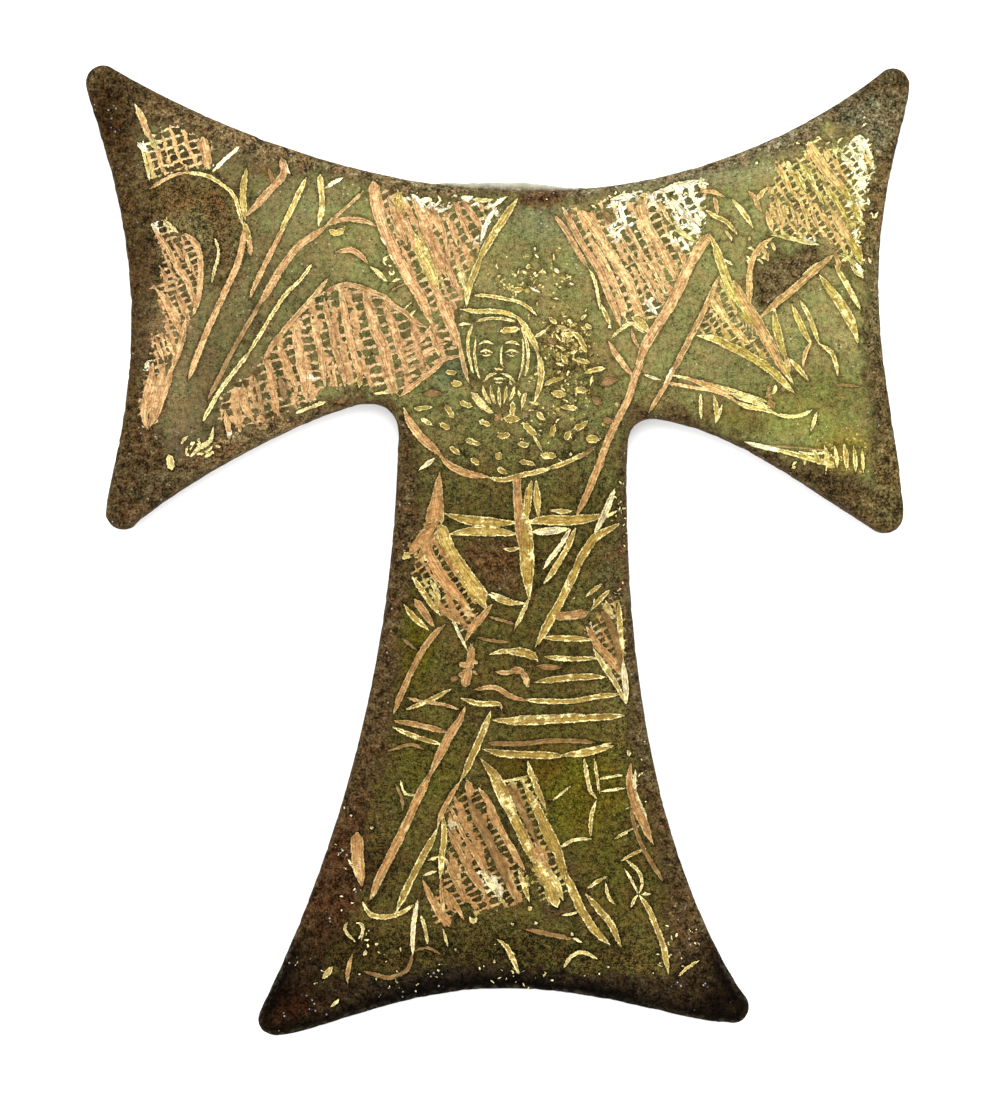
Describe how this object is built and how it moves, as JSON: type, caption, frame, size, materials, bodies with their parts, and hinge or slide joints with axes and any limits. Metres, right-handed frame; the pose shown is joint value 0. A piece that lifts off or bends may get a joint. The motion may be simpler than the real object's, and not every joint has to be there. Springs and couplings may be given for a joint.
{
  "type": "tau cross pendant",
  "caption": "Flat copper-alloy tau cross pendant with flared concave ends, its front engraved with a hooded bearded figure, plants and hatching; its hanging loop is lost.",
  "frame": {"origin": "middle of the outline's box, on the back face it lies on", "axes": "+Z out of the engraved front, +Y towards the crossbar, +X to the figure's left as the front is read"},
  "size_m": [0.033, 0.0388, 0.0016],
  "materials": {
    "patinated_bronze": "cast copper alloy under a smooth olive green patina, with copper and gold graver cuts and a rough dark brown border"
  },
  "bodies": {
    "root": {"tau_plate": "patinated_bronze"}
  },
  "joints": []
}
